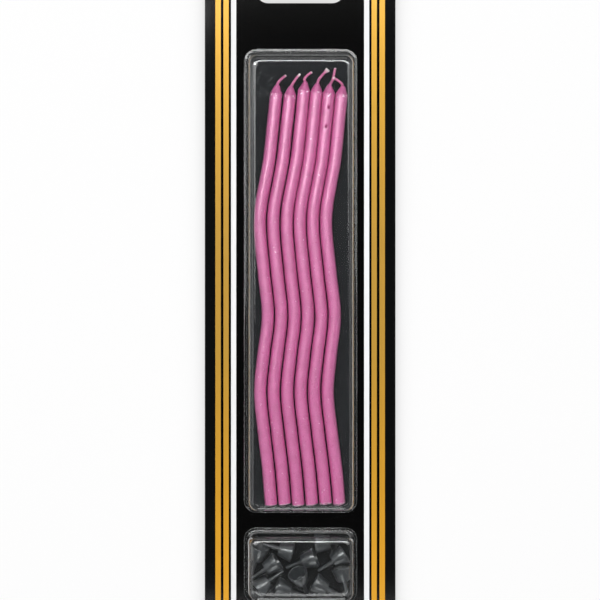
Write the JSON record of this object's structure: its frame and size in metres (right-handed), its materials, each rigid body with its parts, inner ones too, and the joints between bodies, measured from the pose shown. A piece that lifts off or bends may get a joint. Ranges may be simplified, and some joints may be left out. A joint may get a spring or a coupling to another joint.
{
  "type": "wavy cake candle pack",
  "caption": "Hang card pack: wavy wax candles on cotton wicks lie in a long clear bubble, above a short bubble of loose cup-shaped candle holders.",
  "frame": {"origin": "centre of the card's back face, on which the pack lies", "axes": "+X across the card, +Y up the card to its hang slot, +Z out of its printed front"},
  "size_m": [0.0686, 0.245, 0.0118],
  "materials": {
    "printed_board": "black print under a gloss varnish, with thin gold and white stripes",
    "clear_film": "clear thermoformed film",
    "pearly_wax": "cast wax with a pearly satin dip coat",
    "cotton_wick": "braided cotton soaked in wax",
    "holder_plastic": "semi-gloss moulded plastic"
  },
  "bodies": {
    "card": {"hang_card": "printed_board", "holder_1": "holder_plastic", "holder_2": "holder_plastic", "holder_3": "holder_plastic", "holder_4": "holder_plastic", "holder_5": "holder_plastic", "holder_6": "holder_plastic", "holder_7": "holder_plastic", "holder_8": "holder_plastic", "holder_9": "holder_plastic", "holder_10": "holder_plastic", "holder_11": "holder_plastic"},
    "candle_bubble": {"candle_bubble": "clear_film"},
    "holder_bubble": {"holder_bubble": "clear_film"},
    "candle_1": {"candle_1_wax": "pearly_wax", "candle_1_wick": "cotton_wick"},
    "candle_2": {"candle_2_wax": "pearly_wax", "candle_2_wick": "cotton_wick"},
    "candle_3": {"candle_3_wax": "pearly_wax", "candle_3_wick": "cotton_wick"},
    "candle_4": {"candle_4_wax": "pearly_wax", "candle_4_wick": "cotton_wick"},
    "candle_5": {"candle_5_wax": "pearly_wax", "candle_5_wick": "cotton_wick"},
    "candle_6": {"candle_6_wax": "pearly_wax", "candle_6_wick": "cotton_wick"}
  },
  "joints": [
    {"name": "candle_bubble_peel", "type": "hinge", "parent": "card", "child": "candle_bubble", "pos_m": [0, 0.0883, 0.0006], "axis": [-1, 0, 0], "range_deg": [0, 90]},
    {"name": "holder_bubble_peel", "type": "hinge", "parent": "card", "child": "holder_bubble", "pos_m": [0, -0.1111, 0.0006], "axis": [1, 0, 0], "range_deg": [0, 90]},
    {"name": "candle_1_slide", "type": "slide", "parent": "card", "child": "candle_1", "axis": [0, 1, 0], "range_m": [0, 0.0015]},
    {"name": "candle_2_slide", "type": "slide", "parent": "card", "child": "candle_2", "axis": [0, 1, 0], "range_m": [0, 0.0015]},
    {"name": "candle_3_slide", "type": "slide", "parent": "card", "child": "candle_3", "axis": [0, 1, 0], "range_m": [0, 0.0015]},
    {"name": "candle_4_slide", "type": "slide", "parent": "card", "child": "candle_4", "axis": [0, 1, 0], "range_m": [0, 0.0015]},
    {"name": "candle_5_slide", "type": "slide", "parent": "card", "child": "candle_5", "axis": [0, 1, 0], "range_m": [0, 0.0015]},
    {"name": "candle_6_slide", "type": "slide", "parent": "card", "child": "candle_6", "axis": [0, 1, 0], "range_m": [0, 0.0015]}
  ]
}
